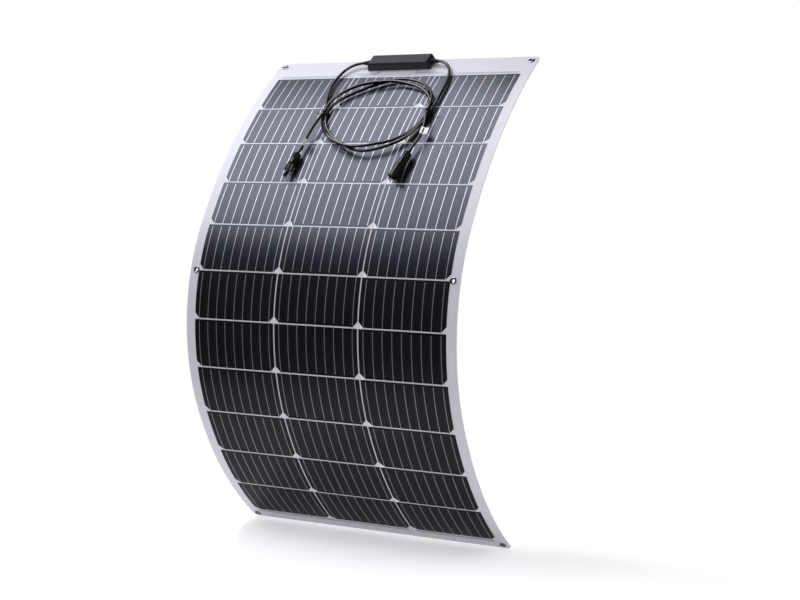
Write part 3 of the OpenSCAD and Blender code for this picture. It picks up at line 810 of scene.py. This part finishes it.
lead_r = LEAD_MM / 2
boot_profile = [(lead_r, 0), (4, 0), (4, 5)]
for rib in range(4):
    z = 5 + rib * 3
    wide = 5 - 1.4 * rib / 3
    boot_profile += [(wide, z), (wide - 0.2, z + 1.7), (wide - 0.9, z + 1.8), (wide - 1, z + 2.9)]
boot_profile += [(lead_r + 0.4, 5 + BOOT_L), (lead_r, 5 + BOOT_L)]
for side, route in ((-1, LEFT_ROUTE), (1, RIGHT_ROUTE)):
    bm = bmesh.new()
    u, s, h = route[0]
    aim = frame_at(u, s, h) @ Matrix.Rotation(side * math.pi / 2, 4, "Y")
    spin(bm, rounded(boot_profile, 0.25, 2), aim, sides=32)
    name = "left" if side < 0 else "right"
    boot = finish_mesh("boot_moulding_" + name, bm, elastomer)
    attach(boot, "sheet")
    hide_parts("boot_" + name)


# --- Ties ----------------------------------------------------------------------------
# Plastic-coated wire twist ties: two turns round the three leads, the ends
# twisted together and left standing to one side.
TIE_WIRE = 1.0
TIE_ROOM = 0.45

# Thin vinyl over wire: black with a soft gloss.
vinyl, shader = start("vinyl_tie", "#0e0e0f", 0.4, IOR=1.53)
where = add(vinyl, "ShaderNodeTexCoord").outputs["Object"]
crease = add(vinyl, "ShaderNodeTexNoise", {"Vector": where, "Scale": 1 / (1.2 * mm), "Detail": 2.0})
crease_bump = add(
    vinyl,
    "ShaderNodeBump",
    {"Height": crease.outputs["Fac"], "Strength": 0.4, "Distance": 0.15 * mm},
)
feed(vinyl, shader, Normal=crease_bump.outputs["Normal"])


def hull_round(spots, reach, count=48):
    """Points round the outside of circles of one radius, in the tie's plane."""
    ring = []
    for k in range(count):
        angle = 2 * math.pi * k / count
        way = Vector((math.cos(angle), math.sin(angle)))
        far = max(spots, key=lambda spot: Vector(spot).dot(way))
        ring.append(Vector(far) + way * reach)
    return ring


def twist_tie(name, strands, side):
    """Two wraps round the strands and a twisted pair of tails to one side."""
    s = strands[0][1]
    plane = frame_at(0, s) @ Matrix.Rotation(math.pi / 2, 4, "X")
    spots = [(u, h) for u, _, h in strands]
    ring = hull_round(spots, LEAD_MM / 2 + TIE_ROOM + TIE_WIRE / 2)
    turns = 2.0
    path = []
    count = int(len(ring) * turns)
    begin = 0 if side > 0 else len(ring) // 2
    for k in range(count + 1):
        x, y = ring[(begin + k) % len(ring)]
        path.append(Vector((x, y, (k / count - 0.5) * 2.6)))
    edge, low = path[0].x, path[0].y
    for end in (0, 1):
        tail = []
        for k in range(16):
            along_tail = 1 + 9.5 * k / 15
            angle = math.pi * end + along_tail * 0.9
            centre = Vector((edge + side * along_tail, low + 0.02 * along_tail**2, 0))
            tail.append(centre + Vector((0, math.cos(angle), math.sin(angle))) * 0.62)
        path = tail[::-1] + path if end == 0 else path + tail
    curve = bpy.data.curves.new(name, "CURVE")
    curve.dimensions = "3D"
    curve.bevel_depth = TIE_WIRE / 2 * mm
    curve.bevel_resolution = 2
    curve.use_fill_caps = True
    line = curve.splines.new("POLY")
    line.points.add(len(path) - 1)
    for knot, spot in zip(line.points, path):
        knot.co = (*(plane @ (spot * mm)), 1)
    curve.materials.append(vinyl)
    made = bpy.data.objects.new(name, curve)
    scene.collection.objects.link(made)
    return made


tie_left = twist_tie("twist_tie_left", (LEFT_ROUTE[9], RIGHT_ROUTE[22], LEFT_ROUTE[34]), -1)
tie_right = twist_tie("twist_tie_right", (RIGHT_ROUTE[9], LEFT_ROUTE[21], RIGHT_ROUTE[35]), 1)
for tie, node in ((tie_left, "tie_left"), (tie_right, "tie_right")):
    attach(tie, "sheet")
    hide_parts(node)


# --- Labels --------------------------------------------------------------------------
# Blank white polyester flags, wrapped once round each lead near its connector
# and stuck to themselves.
LABEL_L = 14
LABEL_W = 11

# White polyester film: satin, a little wavy where it is stuck.
label_film, shader = start("label_film", "#f3f3f1", 0.45, IOR=1.5)
where = add(label_film, "ShaderNodeTexCoord").outputs["Object"]
wave = add(label_film, "ShaderNodeTexNoise", {"Vector": where, "Scale": 1 / (5 * mm), "Detail": 1.0})
wave_bump = add(
    label_film,
    "ShaderNodeBump",
    {"Height": wave.outputs["Fac"], "Strength": 0.4, "Distance": 0.4 * mm},
)
feed(label_film, shader, Normal=wave_bump.outputs["Normal"])


def along_route(route, index):
    """The frame at a point of a route: z along it from the point before, y off the sheet."""
    before, here = place(*route[index - 1]), place(*route[index])
    z = (here - before).normalized()
    x = facing(slant_at(route[index][1])[1]).cross(z).normalized()
    return Matrix.Translation(here) @ Matrix((x, z.cross(x), z)).transposed().to_4x4()


def flag_label(name, route, index, swing):
    """A wrap with a flag that stands off the lead, curling slightly."""
    half = (place(*route[index]) - place(*route[index - 1])).length / mm / 2
    matrix = along_route(route, index) @ Matrix.Translation(Vector((0, 0, -half - LABEL_L / 2)) * mm)
    matrix = matrix @ Matrix.Rotation(math.radians(swing), 4, "Z")
    outer = LEAD_MM / 2 + 0.45
    flag = [(LEAD_MM / 2 + LABEL_W - 2 - 0.9 * k, 0.35 * math.sin(k * 0.5)) for k in range(9)]
    wrap = [
        (outer * math.cos(a), outer * math.sin(a))
        for a in (math.radians(12 + 336 * k / 24) for k in range(25))
    ]
    line = [(x, y + 0.22) for x, y in flag] + wrap + [(x, y - 0.22) for x, y in flag[::-1]]
    bm = bmesh.new()
    rows = []
    for k in range(9):
        z = LABEL_L * k / 8
        rows.append([bm.verts.new(matrix @ (Vector((x, y, z)) * mm)) for x, y in line])
    for lower, upper in zip(rows, rows[1:]):
        for k in range(len(line) - 1):
            bm.faces.new((lower[k], lower[k + 1], upper[k + 1], upper[k]))
    made = finish_mesh(name, bm, label_film)
    thick = made.modifiers.new("film", "SOLIDIFY")
    thick.thickness = 0.12 * mm
    thick.offset = 0
    return made


label_left = flag_label("flag_label_left", LEFT_ROUTE, 38, 60)
label_right = flag_label("flag_label_right", RIGHT_ROUTE, 38, 0)
for label, node in ((label_left, "label_left"), (label_right, "label_right")):
    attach(label, "sheet")
    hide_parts(node)


# --- Connectors ------------------------------------------------------------------------
# A mating pair of solar connectors in glossy black polyamide: a ribbed gland
# nut that squeezes a seal round the lead, a body, and on the plug a slim nose
# with two latch legs that snap into the socket's windows.
ENTRY = 10
NUT_L = 15
NUT_R = 7.5
SHOULDER_Z = NUT_L + 0.3
SHOULDER_L = 9
NOSE_Z = SHOULDER_Z + SHOULDER_L
NOSE_L = 26
NOSE_STEP = 13
NOSE_R = 4.3
CONTACT_R = 1.5

# Moulded polyamide: glossy black, faintly uneven from the mould.
polyamide, shader = start("connector_polyamide", "#0d0d0e", 0.24, IOR=1.53)
where = add(polyamide, "ShaderNodeTexCoord").outputs["Object"]
sink = add(polyamide, "ShaderNodeTexNoise", {"Vector": where, "Scale": 1 / (4 * mm), "Detail": 3.0})
haze = add(
    polyamide,
    "ShaderNodeMapRange",
    {"Value": sink.outputs["Fac"], "To Min": 0.16, "To Max": 0.34},
)
sink_bump = add(
    polyamide,
    "ShaderNodeBump",
    {"Height": sink.outputs["Fac"], "Strength": 0.1, "Distance": 0.1 * mm},
)
feed(polyamide, shader, Roughness=haze.outputs["Result"], Normal=sink_bump.outputs["Normal"])

plug_frame = along_route(LEFT_ROUTE, len(LEFT_ROUTE) - 1) @ Matrix.Translation((0, 0, -ENTRY * mm))
socket_frame = along_route(RIGHT_ROUTE, len(RIGHT_ROUTE) - 1) @ Matrix.Translation((0, 0, -ENTRY * mm))


def ribbed(r, z, angle):
    """Twenty-four grip ribs round the nut, between its rim and its shoulder."""
    if r < NUT_R - 0.6 or not 3.2 < z < NUT_L - 2:
        return r
    return r - 0.55 * max(0.0, math.cos(24 * angle)) ** 0.5


nut_profile = [(LEAD_MM / 2 + 0.4, 0), (NUT_R - 2.6, 0), (NUT_R - 1.2, 1.6), (NUT_R - 0.1, 3)]
nut_profile += [(NUT_R, z) for z in (3.6, 4.4, 8, 11.5, 12.4)]
nut_profile += [
    (NUT_R, 13.4), (NUT_R, NUT_L), (NUT_R - 1.85, NUT_L), (NUT_R - 1.85, 3.4), (LEAD_MM / 2 + 0.4, 3.4),
]
for body, matrix in (("plug_nut", plug_frame), ("socket_nut", socket_frame)):
    bm = bmesh.new()
    spin(bm, nut_profile, matrix, sides=144, radius_of=ribbed)
    nut = finish_mesh("ribbed_" + body, bm, polyamide)
    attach(nut, body)
    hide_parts(body)


def flattened(r, z, angle):
    """The plug's shoulder is round with two flats."""
    if not SHOULDER_Z - 0.01 < z < NOSE_Z + 0.01 or r < 6:
        return r
    return min(r, (r - 1) / max(abs(math.sin(angle)), 0.01))


plug_profile = [
    (CONTACT_R, ENTRY), (NUT_R - 2, ENTRY), (NUT_R - 2, SHOULDER_Z), (NUT_R - 0.5, SHOULDER_Z),
    (NUT_R, SHOULDER_Z + 0.5), (NUT_R, SHOULDER_Z + 3), (NUT_R - 0.5, SHOULDER_Z + 3.3),
    (NUT_R - 0.5, SHOULDER_Z + 4.2), (NUT_R, SHOULDER_Z + 4.5), (NUT_R, SHOULDER_Z + 7.4),
    (NUT_R - 1.2, NOSE_Z), (NOSE_R + 0.05, NOSE_Z), (NOSE_R, NOSE_Z + 0.3),
    (NOSE_R, NOSE_Z + NOSE_STEP - 0.5), (NOSE_R - 0.5, NOSE_Z + NOSE_STEP),
    (NOSE_R - 0.5, NOSE_Z + NOSE_L - 0.5), (NOSE_R - 1, NOSE_Z + NOSE_L), (CONTACT_R, NOSE_Z + NOSE_L),
]
bm = bmesh.new()
spin(bm, plug_profile, plug_frame, sides=96, radius_of=flattened)
plug_body = finish_mesh("plug_moulding", bm, polyamide)
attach(plug_body, "sheet")
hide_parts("plug_body")

for node in ("plug_latch_left", "plug_latch_right", "socket_body"):
    paint(node, polyamide)

# Silicone seals: dark grey and matt.
seal, shader = start("silicone_seal", "#3a3a3c", 0.6, IOR=1.41)
where = add(seal, "ShaderNodeTexCoord").outputs["Object"]
talc = add(seal, "ShaderNodeTexNoise", {"Vector": where, "Scale": 1 / (1.5 * mm), "Detail": 3.0})
haze = add(seal, "ShaderNodeMapRange", {"Value": talc.outputs["Fac"], "To Min": 0.5, "To Max": 0.75})
feed(seal, shader, Roughness=haze.outputs["Result"])
for node in ("plug_seal", "plug_o_ring", "socket_seal"):
    paint(node, seal)

# Tin-plated copper contacts: bright and smooth.
tin_plate, shader = start("tin_plate", "#c8c9cc", 0.25, Metallic=1.0)
where = add(tin_plate, "ShaderNodeTexCoord").outputs["Object"]
draw = add(tin_plate, "ShaderNodeTexNoise", {"Vector": where, "Scale": 1 / (1 * mm), "Detail": 3.0})
haze = add(
    tin_plate,
    "ShaderNodeMapRange",
    {"Value": draw.outputs["Fac"], "To Min": 0.18, "To Max": 0.38},
)
feed(tin_plate, shader, Roughness=haze.outputs["Result"])
for node in ("plug_contact", "socket_contact"):
    paint(node, tin_plate)


# --- Studio ----------------------------------------------------------------------------
# A white floor that fades into a white room, lit by a large soft light high on
# the left, a small one beside it that only draws shadows, and a weak fill from
# the right. What shines mirrors a darker room and floor than those it is lit by.
ROOM_LIGHT = 0.5
DARK_CLOTH = 0.004
FLOOR_MIRRORED = 0.17
scene.view_settings.view_transform = "Standard"
ground = cad_box[0].z
bpy.ops.mesh.primitive_circle_add(vertices=128, radius=3, fill_type="TRIFAN", location=(0, 0.1, ground))
floor = bpy.context.object
floor.name = "floor"
paper, shader = start("white_floor", "#f7f7f8", 0.7, Emission_Color=srgb("#fafafd"), Emission_Strength=0.4)
where = add(paper, "ShaderNodeTexCoord").outputs["Object"]
reach = add(paper, "ShaderNodeVectorMath", {0: where}, operation="LENGTH")
fade = add(
    paper,
    "ShaderNodeMapRange",
    {"Value": reach.outputs["Value"], "From Min": 0.35, "From Max": 0.95, "To Min": 1.0, "To Max": 0.0},
    interpolation_type="SMOOTHSTEP",
)
ray = add(paper, "ShaderNodeLightPath").outputs["Is Glossy Ray"]
mirrored = add(paper, "ShaderNodeMapRange", {"Value": ray, "To Min": 1.0, "To Max": FLOOR_MIRRORED})
cover = add(
    paper,
    "ShaderNodeMath",
    {0: fade.outputs["Result"], 1: mirrored.outputs["Result"]},
    operation="MULTIPLY",
)
feed(paper, shader, Alpha=cover.outputs["Value"])
floor.data.materials.append(paper)

room = bpy.data.worlds.new("room")
scene.world = room
room.use_nodes = True
seen = room.node_tree.nodes.new("ShaderNodeLightPath")
dark = room.node_tree.nodes.new("ShaderNodeMapRange")
dark.inputs["To Min"].default_value = ROOM_LIGHT
dark.inputs["To Max"].default_value = DARK_CLOTH
room.node_tree.links.new(seen.outputs["Is Glossy Ray"], dark.inputs["Value"])
strength = room.node_tree.nodes.new("ShaderNodeMapRange")
strength.inputs["To Max"].default_value = 1.0
room.node_tree.links.new(seen.outputs["Is Camera Ray"], strength.inputs["Value"])
room.node_tree.links.new(dark.outputs["Result"], strength.inputs["To Min"])
sky = room.node_tree.nodes["Background"]
sky.inputs["Color"].default_value = (1, 1, 1, 1)
room.node_tree.links.new(strength.outputs["Result"], sky.inputs["Strength"])


def soft_light(name, spot, aim, size, power, colour="#ffffff"):
    """A square soft light at a spot, aimed at another."""
    light = bpy.data.lights.new(name, "AREA")
    light.shape = "RECTANGLE"
    light.size, light.size_y = size
    light.energy = power
    light.color = srgb(colour)[:3]
    made = bpy.data.objects.new(name, light)
    scene.collection.objects.link(made)
    made.location = spot
    made.rotation_mode = "QUATERNION"
    made.rotation_quaternion = (Vector(aim) - Vector(spot)).to_track_quat("-Z", "Y")
    return made


soft_light("overhead", (-1.25, -0.45, 2.0), (-0.9, -0.2, 0), (1.7, 2.1), 38, "#f6f6ff")
spark = soft_light("spark", (-1.32, 0.41, 2.0), (0, 0.15, 0.25), (0.2, 0.2), 20, "#fbfbff")
spark.visible_glossy = False
soft_light("right_fill", (2.4, -1.4, 0.9), (0, 0.1, 0), (1.2, 1.2), 10)
